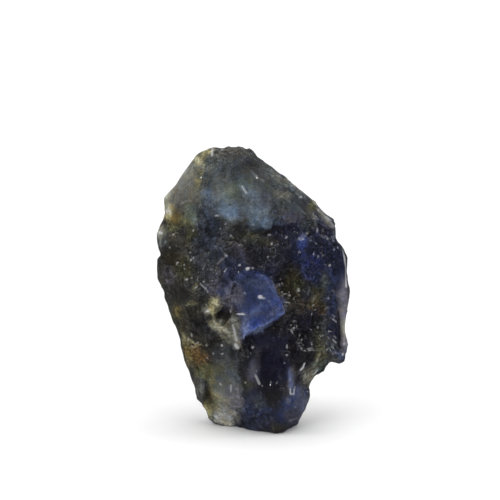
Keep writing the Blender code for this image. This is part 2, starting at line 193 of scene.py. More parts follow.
SHOULDER_MARKS = (
    # pale along the shoulder's rim: a painted glow of light through the thin edge
    (-5.7, 16.3, 0.3, 1.0, -32, 0.8, 0.8, PALE),
    (-4.8, 18.0, 0.25, 0.9, -38, 0.8, 0.7, PALE),
    (-2.95, 18.1, 0.5, 0.6, 20, 0.9, 0.8, GREY),
    (-3.0, 19.2, 0.35, 0.25, 30, 0.8, 0.7, SAND),
    (-5.6, 15.4, 0.4, 0.25, 10, 0.9, 0.8, SAND),
    (-3.15, 16.8, 0.35, 0.8, -5, 0.9, 0.8, SMOKE),
    (-3.65, 17.2, 0.22, 0.8, -3, 0.9, 0.9, OLIVE),
    (-3.74, 17.15, 0.12, 0.15, 0, 0.9, 0.8, SAND),
    (-2.8, 15.9, 0.4, 0.7, 0, 0.9, 0.6, MILK),
    (-3.6, 18.6, 0.5, 0.25, 38, 0.8, 0.6, SAND),
    (-4.4, 15.35, 0.9, 0.3, 8, 0.9, 1.0, WARM_GREY),
    (-5.2, 14.7, 0.75, 0.45, -15, 0.8, 0.7, AMBER),
    (-5.75, 14.95, 0.25, 0.35, 0, 0.9, 0.8, SAND),
    (-5.8, 15.15, 0.2, 0.18, 0, 0.8, 1.0, WHITE),
    (-4.5, 14.5, 0.5, 0.4, 0, 0.8, 0.9, OLIVE),
    (-4.1, 14.9, 0.4, 0.7, 0, 0.8, 0.8, GREEN_GREY),
    (-2.9, 14.6, 0.6, 1.2, 0, 0.8, 0.8, SLATE),
)
LEFT_MARKS = (
    # band under the window
    (-0.1, 13.4, 0.7, 0.3, 0, 0.9, 0.6, OLIVE),
    (0.9, 13.0, 0.9, 0.35, -10, 0.9, 0.4, MOSS),
    (-1.3, 12.9, 0.8, 0.4, 0, 0.9, 0.5, WARM_GREY),
    (-0.65, 12.15, 0.75, 0.24, -66, 0.9, 0.6, VIOLET),
    (-1.1, 11.3, 0.9, 0.5, 0, 0.9, 0.7, SLATE_BLUE),
    (-0.5, 12.7, 0.4, 0.3, 0, 0.9, 0.5, COAL),
    (-2.4, 11.9, 0.3, 0.7, 0, 0.9, 0.5, COAL),
    # left flank
    # pale on the left knob: partly its own grey, partly a painted highlight
    (-6.3, 13.75, 0.4, 0.42, 0, 0.7, 1.0, PALE),
    (-6.3, 12.9, 0.35, 0.32, 0, 0.8, 0.9, GREY),
    (-5.5, 13.9, 0.4, 0.4, 0, 0.8, 1.0, OLIVE),
    (-4.2, 13.8, 0.35, 0.7, 10, 0.9, 0.9, MOSS),
    (-4.7, 12.5, 0.4, 0.5, 0, 0.9, 0.6, COAL),
    (-5.0, 13.0, 0.7, 0.6, 0, 0.9, 0.4, WARM_GREY),
    (-5.5, 11.9, 0.6, 0.6, 0, 0.9, 0.7, BROWN),
    (-4.6, 11.2, 0.6, 0.8, 0, 0.9, 0.5, MOSS),
    (-5.6, 10.6, 0.4, 0.6, 0, 0.9, 0.5, VIOLET),
    (-3.8, 9.95, 0.12, 0.3, -20, 0.9, 0.8, SAND),
    (-3.7, 10.3, 0.6, 0.8, 0, 0.9, 0.5, COAL),
    (-2.5, 10.6, 0.6, 1.0, 10, 0.9, 0.5, DARK_OLIVE),
    (-2.4, 9.4, 0.5, 1.2, 10, 0.9, 0.6, VIOLET),
    (-4.9, 9.5, 0.9, 0.6, 0, 0.9, 0.5, COAL),
    (-5.1, 8.2, 0.35, 0.4, 20, 0.9, 0.6, AMBER),
    (-4.2, 8.7, 0.35, 0.1, 20, 0.8, 0.7, SAND),
    # pale patch beside the plate, and the dark hollow in it
    (-2.5, 8.7, 0.42, 0.6, -8, 0.8, 1.0, SAND),
    (-2.5, 8.6, 0.25, 0.4, 0, 0.9, 0.4, PALE),
    (-3.1, 8.25, 0.24, 0.3, 0, 0.8, 1.0, PALE),
    (-1.7, 8.0, 0.55, 0.3, 25, 0.9, 0.8, BROWN),
    # the black in the hollow is painted shade, over its brown
    (-2.1, 8.15, 0.35, 0.25, -30, 0.9, 0.7, BLACK),
    (-1.4, 8.3, 0.15, 0.3, 10, 0.9, 0.7, COAL),
    # flank under it
    (-3.3, 7.1, 0.8, 0.8, 0, 0.7, 0.8, COAL),
    (-4.5, 6.9, 0.3, 0.8, 15, 0.9, 0.6, UMBER),
    (-4.6, 6.1, 0.25, 0.6, 10, 0.9, 0.5, SAND),
)
LOW_LEFT_MARKS = (
    # rust and olive
    (-3.8, 5.1, 0.95, 0.6, -15, 0.9, 0.9, RUST),
    (-4.3, 4.8, 0.3, 0.6, 0, 0.9, 0.6, OLIVE),
    (-4.45, 5.4, 0.25, 0.5, 10, 0.9, 0.8, AMBER),
    (-3.1, 3.9, 0.9, 0.7, 0, 0.8, 0.95, OLIVE),
    (-3.7, 2.8, 0.35, 0.9, 18, 0.9, 0.8, WARM_GREY),
    (-3.5, 2.9, 0.3, 0.6, 15, 0.9, 0.6, GREY),
    (-2.55, 2.8, 0.35, 0.8, 0, 0.9, 0.6, SAND),
    (-3.0, 2.2, 0.25, 0.5, 8, 0.9, 0.8, BROWN),
    (-3.0, 1.3, 0.3, 0.6, 0, 0.9, 0.8, SAND),
    # pale at the foot: partly its own pale colour, partly painted light from the floor
    (-2.5, 0.6, 0.5, 0.3, 0, 0.9, 1.0, PALE),
    # streaked facet
    (-1.6, 3.2, 0.85, 2.7, 3, 0.7, 0.9, SMOKE),
    (-1.5, 3.4, 0.6, 2.0, 3, 0.9, 0.4, GREY),
    (-1.5, 2.3, 0.8, 1.8, 0, 0.9, 0.9, GREY),
    (-1.4, 1.8, 0.6, 1.1, 0, 0.9, 0.7, LILAC),
    (-2.0, 1.8, 0.35, 1.1, 8, 0.9, 0.8, PALE),
    # white at the foot: partly its own pale colour, partly painted light from the floor
    (-1.7, 0.8, 0.8, 0.5, 0, 0.9, 0.9, WHITE),
    (-2.2, 4.2, 0.4, 0.5, 0, 0.9, 0.6, OLIVE),
    (-0.95, 2.6, 0.15, 0.9, -5, 0.9, 0.6, LILAC),
    (-1.2, 3.7, 0.4, 0.7, 0, 0.9, 0.5, GREY),
    (-2.3, 1.8, 0.3, 0.7, 0, 0.9, 0.6, SAND),
    (-1.8, 1.7, 0.5, 0.8, 0, 0.9, 0.5, PALE),
)
PLATE_MARKS = (
    # wedge
    (-1.1, 7.0, 0.3, 0.7, 10, 0.9, 0.9, PALE),
    (-2.9, 7.2, 0.25, 0.25, 0, 0.9, 0.7, COAL),
    (-2.4, 7.45, 0.35, 0.15, -30, 0.9, 0.5, SAND),
    (-1.75, 7.35, 0.35, 0.3, -20, 0.9, 0.8, BROWN),
    (-1.6, 6.45, 0.25, 0.4, 0, 0.9, 0.5, MOSS),
    (-0.98, 7.3, 0.2, 0.45, 0, 0.9, 0.8, PALE),
    # plate and its left border
    (-1.2, 9.8, 0.8, 1.2, 10, 0.9, 0.8, SLATE_BLUE),
    (-2.1, 9.1, 0.4, 0.7, 15, 0.9, 0.6, BLUE),
    (-0.95, 9.3, 0.35, 0.9, 10, 0.9, 0.5, LILAC),
    (-1.6, 9.0, 0.25, 0.8, 8, 0.9, 0.6, LILAC),
    (-0.4, 7.9, 0.35, 0.3, 0, 0.9, 0.4, GREY),
    (0.0, 9.2, 0.6, 0.5, 0, 0.9, 0.4, NAVY),
    (-0.3, 10.3, 0.7, 0.35, 0, 0.9, 0.5, SLATE),
    (0.3, 8.3, 0.6, 0.25, 35, 0.9, 0.35, PALE_BLUE),
    (1.7, 9.0, 0.4, 0.5, 0, 0.9, 0.5, BRIGHT_BLUE),
    (1.5, 9.6, 0.35, 0.6, 25, 0.9, 0.4, SMOKE),
    (1.0, 8.2, 0.5, 0.25, 20, 0.9, 0.5, NAVY),
    (-0.3, 8.6, 0.35, 0.3, 0, 0.9, 0.5, SLATE_BLUE),
    (0.7, 10.2, 0.4, 0.3, -20, 0.9, 0.6, SLATE_BLUE),
    (2.3, 8.3, 0.3, 0.5, 0, 0.9, 0.6, UMBER),
    (0.3, 7.3, 0.8, 0.35, 15, 0.9, 0.8, BRIGHT_BLUE),
    (0.3, 6.9, 0.9, 0.15, 18, 0.9, 0.8, PALE_BLUE),
    (-0.5, 7.0, 0.25, 0.5, 0, 0.9, 1.0, PALE_BLUE),
)
RIGHT_MARKS = (
    # blue at the upper right
    (4.2, 12.2, 1.3, 1.2, 0, 0.8, 0.9, NAVY),
    (3.45, 12.9, 0.26, 0.65, -8, 0.8, 0.8, BRIGHT_BLUE),
    (4.0, 11.4, 0.9, 0.8, 0, 0.8, 0.9, DEEP_BLUE),
    (4.4, 10.6, 0.4, 0.4, 0, 0.9, 0.6, BLUE),
    (3.35, 11.3, 0.3, 0.5, 0, 0.9, 0.8, BLUE),
    # recess
    (2.8, 9.8, 0.8, 1.4, 0, 0.8, 0.8, BROWN),
    (3.2, 10.2, 0.8, 0.8, 0, 0.9, 0.7, MOSS),
    (3.2, 8.6, 0.8, 0.5, 0, 0.9, 0.7, UMBER),
    (5.0, 9.7, 0.35, 0.6, 0, 0.9, 0.6, GREY),
    (5.2, 8.4, 0.3, 0.5, 0, 0.9, 0.8, MOSS),
    (4.4, 9.3, 0.5, 0.6, 0, 0.9, 0.6, OLIVE),
    (4.3, 8.65, 0.4, 0.3, 0, 0.9, 0.6, AMBER),
    (5.1, 8.45, 0.35, 0.25, 0, 0.9, 0.7, AMBER),
    (4.85, 8.15, 0.28, 0.2, -10, 0.8, 0.8, RUST),
    (4.2, 7.4, 0.6, 0.8, 0, 0.8, 0.9, COAL),
    (4.9, 7.3, 0.25, 0.6, 0, 0.9, 0.8, SMOKE),
    (5.3, 7.55, 0.3, 0.35, 0, 0.9, 0.6, GREY),
    (4.6, 6.5, 0.2, 0.5, -15, 0.9, 0.5, OLIVE),
    (5.0, 6.3, 0.22, 0.9, 0, 0.9, 0.7, SMOKE),
    (4.8, 5.4, 0.4, 0.8, 0, 0.9, 0.7, OLIVE),
    (3.2, 6.5, 0.9, 0.9, 0, 0.8, 0.9, BLACK),
    (3.85, 7.4, 0.35, 0.5, 0, 0.9, 0.8, MIDNIGHT),
    (3.3, 6.3, 0.8, 0.9, 0, 0.9, 0.5, BLACK),
    # inner strip
    (5.5, 9.2, 0.35, 1.7, 0, 0.8, 0.9, SLATE_BLUE),
    (5.05, 10.3, 0.14, 0.5, 0, 0.9, 0.7, GREEN_GREY),
    (5.6, 7.2, 0.35, 0.9, 0, 0.8, 0.9, NAVY),
    (5.5, 5.8, 0.4, 0.4, 0, 0.9, 0.8, SMOKE),
    # outer strip
    (6.35, 8.5, 0.34, 1.8, 0, 0.7, 1.0, LILAC),
    (6.4, 7.1, 0.28, 0.6, 0, 0.8, 1.0, PALE),
    (6.4, 6.0, 0.3, 0.6, 0, 0.8, 0.7, LILAC),
    (6.1, 5.1, 0.6, 0.5, 0, 0.7, 0.7, SLATE),
    (6.15, 5.1, 0.3, 0.3, 0, 0.8, 0.9, SLATE_BLUE),
    (5.6, 4.75, 0.5, 0.2, 0, 0.8, 0.9, GREY),
)
LOW_RIGHT_MARKS = (
    # hollow and bowl
    # painted shadow in the hollow under the plate's ledge
    (0.6, 6.3, 1.3, 0.4, 5, 0.8, 0.9, MIDNIGHT),
    (1.6, 6.1, 0.8, 0.5, 0, 0.9, 0.8, NAVY),
    (1.35, 4.4, 1.3, 1.8, 6, 0.7, 1.0, MIDNIGHT),
    # the bowl's walls: violet of their own, with lilac and pale blue as painted highlights on the
    # rims
    (0.2, 4.2, 0.28, 1.3, -10, 0.9, 0.9, VIOLET),
    (0.12, 4.4, 0.14, 0.6, 0, 0.9, 0.7, LILAC),
    (2.75, 3.6, 0.2, 0.8, -5, 0.9, 0.9, LILAC),
    (2.7, 3.5, 0.18, 0.7, 8, 0.9, 0.6, PALE_BLUE),
    (-0.3, 3.1, 0.4, 0.4, 0, 0.9, 0.7, MOSS),
    (-0.6, 4.5, 0.3, 1.0, 0, 0.9, 0.7, COAL),
    # lumps at the foot
    (0.2, 1.2, 1.1, 1.2, 0, 0.8, 0.9, SLATE_BLUE),
    (-0.3, 1.9, 0.6, 0.5, 0, 0.9, 0.6, SLATE_BLUE),
    (0.6, 1.9, 0.6, 0.4, -20, 0.9, 0.6, SMOKE),
    (-0.7, 1.8, 0.15, 0.6, 0, 0.9, 0.8, LILAC),
    (2.6, 1.4, 0.9, 1.0, 0, 0.8, 0.9, SLATE_BLUE),
    (3.2, 1.9, 0.5, 1.2, 0, 0.9, 0.8, BLUE),
    (3.3, 2.4, 0.3, 0.9, 0, 0.9, 0.5, LILAC),
    (3.7, 1.5, 0.25, 0.8, -10, 0.9, 0.8, LILAC),
    (2.5, 1.5, 0.5, 0.8, -20, 0.9, 0.6, BLUE),
    (3.3, 1.8, 0.45, 1.2, 0, 0.9, 0.35, PALE_BLUE),
    (1.6, 2.4, 0.7, 0.6, 0, 0.9, 0.9, COAL),
    (1.7, 0.2, 0.5, 0.4, 0, 0.9, 0.5, UMBER),
    (2.0, 1.9, 0.4, 0.5, 0, 0.9, 0.5, COAL),
    (2.8, 1.1, 0.5, 0.5, 0, 0.9, 0.7, VIOLET),
    (2.3, 2.7, 0.3, 0.4, 0, 0.9, 0.5, BLACK),
    (0.2, 0.7, 0.6, 0.4, 0, 0.9, 0.5, COAL),
    # notch under the strip
    (3.85, 3.6, 0.45, 0.65, 10, 0.7, 1.0, PALE),
    (4.5, 4.35, 0.6, 0.3, 30, 0.8, 0.9, GREEN_GREY),
    (4.2, 4.2, 0.4, 0.25, 35, 0.9, 0.7, PALE),
    (3.2, 3.8, 0.25, 0.4, 0, 0.9, 0.8, COAL),
)

# Thin lines, as start, end, half width, strength and colour
LINES = (
    # shoulder, crown and chamfer
    # a painted highlight along the shoulder's lower edge
    ((-4.75, 15.6), (-4.15, 15.8), 0.08, 0.5, PALE),
    ((-3.2, 18.4), (-3.6, 16.8), 0.1, 0.3, SAND),
    ((-3.6, 16.8), (-3.5, 15.4), 0.1, 0.25, GREEN_GREY),
    # a painted highlight along the chamfer's rim
    ((2.3, 17.3), (4.0, 16.1), 0.09, 0.6, PALE),
    # a small three-sided mark and a hook
    ((3.75, 14.7), (4.5, 14.75), 0.05, 0.5, UMBER),
    ((3.75, 14.7), (4.1, 14.1), 0.05, 0.5, UMBER),
    ((4.5, 14.75), (4.1, 14.1), 0.05, 0.5, UMBER),
    ((-2.4, 11.4), (-1.75, 12.0), 0.05, 0.7, LILAC),
    ((-1.75, 12.0), (-2.1, 12.5), 0.07, 0.4, LILAC),
    # the plate's lit edges as painted highlights, and the groove beside it
    ((0.8, 10.75), (1.5, 9.6), 0.06, 0.2, PALE_BLUE),
    ((2.35, 8.3), (1.3, 7.45), 0.09, 0.35, PALE_BLUE),
    ((1.3, 7.45), (-0.5, 6.6), 0.09, 0.5, PALE_BLUE),
    ((1.75, 9.9), (2.0, 9.4), 0.10, 0.5, AMBER),
    ((2.65, 11.3), (2.7, 9.0), 0.12, 0.7, BROWN),
    # the wedge and the rust
    ((-2.95, 7.5), (-2.3, 6.9), 0.14, 0.3, SAND),
    ((-4.3, 6.2), (-3.9, 5.9), 0.05, 0.6, SAND),
    ((-4.0, 5.7), (-3.5, 5.9), 0.05, 0.5, SAND),
    # the strip at the right
    ((6.04, 8.2), (6.06, 5.4), 0.08, 0.9, BLACK),
    ((4.75, 5.35), (4.55, 4.8), 0.07, 0.7, PALE),
    # the bowl and the foot
    # a painted highlight on the bowl's lower left rim
    ((0.2, 4.0), (0.5, 3.2), 0.09, 0.8, LILAC),
    ((-0.7, 1.6), (-0.62, 2.3), 0.06, 0.6, LILAC),
)

# Painted highlights: bright lines along lit rims, as start, end, half width and brightness
PAINTED_HIGHLIGHT_LINES = (
    ((-5.3, 17.0), (-4.4, 18.0), 0.08, 0.15), ((-2.7, 18.9), (-2.7, 19.5), 0.07, 0.5),
    ((-0.65, 16.75), (-0.35, 16.3), 0.05, 0.5), ((4.0, 16.1), (5.7, 14.0), 0.08, 0.25),
    ((-3.5, 10.1), (-3.0, 9.6), 0.03, 0.4), ((-1.3, 7.3), (-1.0, 6.2), 0.05, 0.4),
    ((-1.1, 5.9), (-0.95, 5.7), 0.10, 0.5), ((6.3, 12.6), (6.52, 11.2), 0.06, 0.9),
    ((6.52, 11.2), (6.54, 9.9), 0.06, 0.9), ((3.65, 4.6), (3.55, 4.3), 0.045, 0.8),
    ((3.55, 4.3), (3.38, 4.15), 0.05, 0.7), ((4.55, 4.1), (4.35, 3.85), 0.045, 0.8),
    ((2.68, 2.85), (2.68, 2.5), 0.04, 0.5), ((2.95, 2.85), (2.92, 2.5), 0.04, 0.5),
    ((2.70, 2.48), (2.92, 2.47), 0.04, 0.5), ((-1.40, 3.1), (-1.42, 2.65), 0.05, 0.3),
    ((0.30, 3.75), (0.55, 3.2), 0.07, 0.45), ((2.6, 0.62), (3.2, 0.74), 0.045, 0.35),
    ((5.6, 7.65), (5.85, 7.45), 0.045, 0.4), ((5.65, 6.2), (5.85, 6.0), 0.045, 0.45),
)

# Painted glints, as across, up, half length, half width, turn in degrees and brightness
PAINTED_GLINTS = (
    # crown, chamfer and band
    (-2.0, 19.28, 0.08, 0.05, 20, 0.5), (-0.33, 18.82, 0.07, 0.05, 0, 0.6),
    (3.36, 16.06, 0.11, 0.08, 30, 0.9), (-2.38, 14.76, 0.15, 0.05, 0, 0.6),
    (-1.41, 13.38, 0.07, 0.06, 0, 0.6), (2.38, 13.28, 0.07, 0.05, 40, 0.7),
    (1.38, 12.83, 0.06, 0.06, 0, 0.6), (1.20, 13.45, 0.12, 0.04, 0, 0.6),
    (5.21, 13.20, 0.06, 0.06, 0, 0.7), (4.52, 13.75, 0.04, 0.17, 0, 0.6),
    (3.25, 13.20, 0.06, 0.10, 0, 0.2), (1.12, 11.93, 0.06, 0.05, 0, 0.5),
    (-1.70, 12.03, 0.06, 0.05, 0, 0.5),
    # above the plate
    (-0.26, 11.14, 0.13, 0.10, 20, 1.0), (-0.81, 11.38, 0.08, 0.06, 0, 0.8),
    (0.09, 11.17, 0.08, 0.05, 0, 0.6),
    # left side
    (-6.30, 13.62, 0.12, 0.10, 0, 1.0), (-5.36, 13.47, 0.07, 0.05, 0, 0.6),
    (-5.10, 11.52, 0.07, 0.05, 30, 0.7), (-4.20, 12.25, 0.06, 0.05, 0, 0.5),
    (-4.15, 11.75, 0.05, 0.08, 0, 0.6), (-4.45, 10.40, 0.08, 0.05, 0, 0.7),
    (-3.28, 10.24, 0.06, 0.05, 0, 0.6), (-3.80, 9.85, 0.14, 0.04, 45, 0.7),
    (-3.15, 9.80, 0.07, 0.04, -30, 0.5), (-3.00, 8.22, 0.12, 0.07, 0, 0.9),
    (-1.43, 8.21, 0.05, 0.10, 0, 0.8), (-4.13, 6.57, 0.05, 0.12, 0, 0.5),
    (-4.35, 6.25, 0.10, 0.05, 60, 0.4), (-3.75, 6.00, 0.12, 0.04, 35, 0.5),
    (-4.10, 5.75, 0.10, 0.04, -20, 0.4), (-3.10, 5.85, 0.06, 0.05, 0, 0.4),
    (-3.05, 4.95, 0.06, 0.05, 0, 0.5), (-2.85, 3.45, 0.06, 0.05, 0, 0.4),
    (-2.01, 5.26, 0.08, 0.05, 0, 0.6), (-2.62, 5.29, 0.06, 0.06, 0, 0.4),
    (-2.03, 5.86, 0.06, 0.09, 0, 0.7), (-2.15, 3.15, 0.07, 0.10, 30, 0.4),
    (-4.62, 11.38, 0.04, 0.05, 0, 0.6), (-4.58, 11.15, 0.05, 0.04, 0, 0.6),
    (-4.10, 10.50, 0.05, 0.05, 0, 0.6), (-2.68, 10.30, 0.04, 0.05, 0, 0.5),
    (-3.00, 9.53, 0.05, 0.05, 0, 0.5), (-4.00, 11.87, 0.04, 0.07, 0, 0.5),
    (-2.92, 12.20, 0.04, 0.06, 0, 0.4), (-3.29, 11.15, 0.06, 0.04, 30, 0.4),
    (-1.74, 11.10, 0.06, 0.04, 45, 0.7), (-1.85, 10.95, 0.04, 0.04, 0, 0.6),
    (-3.72, 14.20, 0.04, 0.06, 0, 0.4), (-4.00, 13.75, 0.05, 0.05, 0, 0.5),
    (-1.77, 14.20, 0.06, 0.04, 30, 0.5), (-2.13, 13.86, 0.06, 0.04, 45, 0.5),
    (-5.60, 12.60, 0.05, 0.05, 0, 0.4),
    # plate
    (-0.73, 8.02, 0.28, 0.06, 0, 1.0), (0.60, 9.20, 0.16, 0.12, -15, 0.9),
    (0.82, 9.10, 0.10, 0.05, 0, 0.7), (-0.45, 9.45, 0.12, 0.04, -45, 0.4),
    # right side
    (5.38, 11.35, 0.06, 0.07, 0, 0.7), (2.60, 9.29, 0.06, 0.05, 0, 0.3),
    (4.26, 8.62, 0.08, 0.06, 0, 0.5), (4.38, 8.30, 0.08, 0.05, 0, 0.4),
    (4.57, 7.08, 0.07, 0.08, 0, 0.6), (6.41, 5.93, 0.05, 0.09, 0, 0.7),
    (5.76, 6.41, 0.14, 0.04, -45, 0.5), (5.70, 7.85, 0.12, 0.04, -40, 0.4),
    (5.32, 9.08, 0.05, 0.07, 0, 0.6), (6.31, 5.20, 0.06, 0.10, 0, 1.0),
    # hollow, bowl and foot
    (0.09, 5.72, 0.08, 0.08, 20, 0.7), (2.44, 5.78, 0.05, 0.15, 0, 0.5),
    (2.43, 5.19, 0.08, 0.05, 0, 0.6), (2.28, 4.64, 0.06, 0.06, 0, 0.4),
    (0.34, 4.08, 0.05, 0.07, 0, 0.4), (-0.42, 3.28, 0.06, 0.06, 0, 0.4),
    (1.74, 3.24, 0.10, 0.04, 35, 0.3), (3.03, 1.57, 0.06, 0.05, 0, 0.4),
)

# All of these painted glints are dimmed to this share of their brightness
PAINTED_GLINT_STRENGTH = 0.7

# Patches of the hidden sides, each with its size in mm, its place in the pattern, where it
# starts and ends, how strong it is, and its colour
BACK_PATCHES = (
    (4.2, (1, 1, 1), -0.05, 0.35, 0.8, NAVY), (3.6, (4, 9, 2), 0.00, 0.35, 0.8, DARK_OLIVE),
    (3.0, (7, 3, 5), 0.08, 0.40, 0.7, SMOKE), (2.6, (2, 8, 6), 0.12, 0.45, 0.7, SLATE_BLUE),
    (2.0, (9, 5, 3), 0.15, 0.50, 0.6, OLIVE), (1.7, (6, 2, 8), 0.20, 0.50, 0.6, BLUE),
    (2.4, (3, 7, 4), 0.20, 0.50, 0.7, GREY), (1.4, (8, 4, 9), 0.20, 0.50, 0.8, COAL),
    (2.6, (5, 6, 1), 0.42, 0.62, 0.45, RUST), (1.3, (2, 3, 7), 0.42, 0.62, 0.25, SAND),
)

# Colours that the material lays over the tints, in linear light
COOL_CAST = (0.90, 0.97, 1.12, 1.0)
WARM_CAST = (1.12, 1.04, 0.88, 1.0)
VEIL_COLOUR = (0.40, 0.41, 0.43, 1.0)
GOLD_COLOUR = (0.30, 0.24, 0.11, 1.0)
# the near white of the painted glints
PAINTED_GLINT_COLOUR = (0.86, 0.87, 0.9, 1.0)
OVERALL_SHADE = 0.91

# What is the same all over the crystal, and inside it
CRYSTAL_SETTINGS = {
    "IOR": 1.6, "Specular IOR Level": 0.3, "Transmission Weight": 0.3,
    "Subsurface Weight": 0.3, "Subsurface Radius": (0.6, 0.8, 1.0), "Subsurface Scale": 0.0006,
    "Coat Weight": 0.6, "Coat Roughness": 0.06, "Coat IOR": 1.6,
}
ABSORPTION = {"Color": (0.30, 0.34, 0.42, 1.0), "Density": 330.0}

# The studio, in metres and watts
FLOOR_SIZE = 6.0
FLOOR_SETTINGS = {
    "Base Color": (0.96, 0.96, 0.96, 1), "Roughness": 0.6, "Specular IOR Level": 0.2,
}
WORLD_LIGHT = 0.05
STONE_MIDDLE = (0, 0, 0.01)
# Each softbox has its place, its size, its power, and whether the stone mirrors it.
SOFTBOXES = (
    ("top", (0.0, 0.0, 0.6), 1.0, 6.4, False),
    ("top_sheen", (0.0, 0.0, 0.6), 1.0, 2.4, True),
    ("fill", (-0.30, -0.36, 0.05), 0.25, 1.5, False),
    ("left", (-0.4, -0.10, 0.25), 0.15, 0.3, False),
    ("right", (0.45, 0.05, 0.2), 0.15, 0.3, True),
)
# Small lamps make single bright points.
SPARKS = (
    (-0.12, -0.35, 0.30), (0.20, -0.30, 0.25), (-0.30, -0.15, 0.35), (0.05, -0.20, 0.45),
    (0.33, -0.05, 0.30),
)
SPARK_SIZE = 0.01
SPARK_POWER = 0.07


def face_coordinates(points):
    """Across and up on the face plane, and how far behind it, for points in mm."""
    y = points[:, 1] + ASIDE[1]
    z = points[:, 2]
    across = points[:, 0] + ASIDE[0]
    up = y * sin(FACE_LEAN) + z * cos(FACE_LEAN)
    behind = y * cos(FACE_LEAN) - z * sin(FACE_LEAN)
    return across, up, behind


def upright(across, up, behind):
    """The place in the frame, in metres, of a place given on the face plane in mm."""
    y = up * sin(FACE_LEAN) + behind * cos(FACE_LEAN) - ASIDE[1]
    z = up * cos(FACE_LEAN) - behind * sin(FACE_LEAN)
    return Vector((across - ASIDE[0], y, z)) * MM


def before_middle(up, behind):
    """How far each place lies before the upright plane where the front ends."""
    return MIDDLE - up * tan(FACE_LEAN) - behind


def eased(value, low, high):
    """Zero below low and one above high, with a smooth change between."""
    share = np.clip((value - low) / (high - low), 0.0, 1.0)
    return share * share * (3 - 2 * share)


def from_line(across, up, start, end):
    """How far each place is from a straight line between two points."""
    run, rise = end[0] - start[0], end[1] - start[1]
    share = ((across - start[0]) * run + (up - start[1]) * rise) / (run**2 + rise**2)
    share = np.clip(share, 0.0, 1.0)
    return np.hypot(across - start[0] - share * run, up - start[1] - share * rise)


def on_line(across, up, start, end, half_width):
    """One on a line and zero off it, with a soft edge."""
    distance = from_line(across, up, start, end)
    return eased(-distance, -1.5 * half_width, -0.5 * half_width)


def inset(across, up, outline):
    """How far each place lies inside a closed outline. It is negative outside."""
    nearest = np.full(across.shape, np.inf)
    inside = np.zeros(across.shape, bool)
    for start, end in zip(outline, outline[1:] + outline[:1]):
        nearest = np.minimum(nearest, from_line(across, up, start, end))
        (ax, ay), (bx, by) = start, end
        if ay != by:
            crosses = (ay > up) != (by > up)
            inside ^= crosses & (across < ax + (up - ay) / (by - ay) * (bx - ax))
    return np.where(inside, nearest, -nearest)


def in_oval(across, up, middle, half_size, turn, soft):
    """One inside a turned oval and zero outside, with a soft edge."""
    run, rise = across - middle[0], up - middle[1]
    angle = radians(turn)
    along = (run * cos(angle) + rise * sin(angle)) / half_size[0]
    over = (-run * sin(angle) + rise * cos(angle)) / half_size[1]
    return eased(-np.hypot(along, over), -1 - soft * 0.6, -1 + soft * 0.6)


def in_patch(across, up, patch):
    """One in the middle of a patch of the front, and zero outside it."""
    at_across, at_up, width, height = patch
    from_middle = np.hypot((across - at_across) / width, (up - at_up) / height)
    return np.clip(2.2 - 2 * from_middle, 0.0, 1.0)


def vertex_values(piece, name):
    """The places or the normals of a piece's points, one row for each."""
    values = np.empty(len(piece.data.vertices) * 3, np.float32)
    piece.data.vertices.foreach_get(name, values)
    return values.reshape(-1, 3).astype(float)


def place(piece, points):
    piece.data.vertices.foreach_set("co", points.astype(np.float32).ravel())
    piece.data.update()


def store(piece, name, values, kind="FLOAT"):
    """Keeps a value for each point, for the material to read."""
    layer = piece.data.attributes.new(name, kind, "POINT")
    if kind == "FLOAT_COLOR":
        rgba = np.concatenate([values, np.ones((len(values), 1))], axis=1)
        layer.data.foreach_set("color", rgba.astype(np.float32).ravel())
    else:
        layer.data.foreach_set("value", values.astype(np.float32))


def apply_modifiers(piece):
    """Gives a piece the mesh that its modifiers make, and drops them."""
    evaluated = piece.evaluated_get(bpy.context.evaluated_depsgraph_get())
    mesh = bpy.data.meshes.new_from_object(evaluated)
    old = piece.data
    piece.modifiers.clear()
    piece.data = mesh
    bpy.data.meshes.remove(old)


def fine_copy(node, name):
    """A copy of a node in millimetres, rebuilt as an even fine mesh."""
    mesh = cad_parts[node].data.copy()
    mesh.name = name
    piece = bpy.data.objects.new(name, mesh)
    bpy.context.scene.collection.objects.link(piece)
    place(piece, vertex_values(piece, "co") / MM)
    remesh = piece.modifiers.new("even", "REMESH")
    remesh.mode = "VOXEL"
    remesh.voxel_size = VOXEL
    remesh.adaptivity = 0.0
    smooth = piece.modifiers.new("worn", "SMOOTH")
    smooth.factor = 0.5
    smooth.iterations = 3
    apply_modifiers(piece)
    return piece


def neighbour_average(mesh):
    """A function that replaces each point's values by the average of its neighbours'."""
    count = len(mesh.vertices)
    pairs = np.empty(len(mesh.edges) * 2, np.int32)
    mesh.edges.foreach_get("vertices", pairs)
    first, second = pairs.reshape(-1, 2).T
    links = np.bincount(pairs, minlength=count)

    def column_average(column):
        total = np.bincount(first, column[second], count)
        return (total + np.bincount(second, column[first], count)) / links

    def averaged(values, rounds=1):
        columns = values.reshape(count, -1)
        for _ in range(rounds):
            columns = np.stack([column_average(column) for column in columns.T], axis=1)
        return columns.reshape(values.shape)

    return averaged


def smoothed(points, averaged, share, rounds):
    """Points that are moved towards the middle of their neighbours, each by its share."""
    share = WEAR * share[:, None]
    for _ in range(rounds):
        points = points + share * (averaged(points) - points)
    return points


def cleanness(across, up, on_front):
    """How smooth each place is, from zero on broken ground to one on clean faces."""
    clean = np.zeros(across.shape)
    for patch in CLEAN_PATCHES:
        clean = np.maximum(clean, in_patch(across, up, patch))
    return np.where(on_front, clean, HIDDEN_CLEAN)


def chip(point):
    """The height of flat facets at random tilts, from -1 to 1."""
    point = (point + CHIP_ORIGIN) / CHIP_SIZE
    middle = noise.voronoi(point)[1][0]
    tilt = noise.cell_vector(middle * 7.3) - Vector((0.5, 0.5, 0.5))
    return max(-1.0, min(1.0, (point - middle).dot(tilt) * CHIP_STEEPNESS))


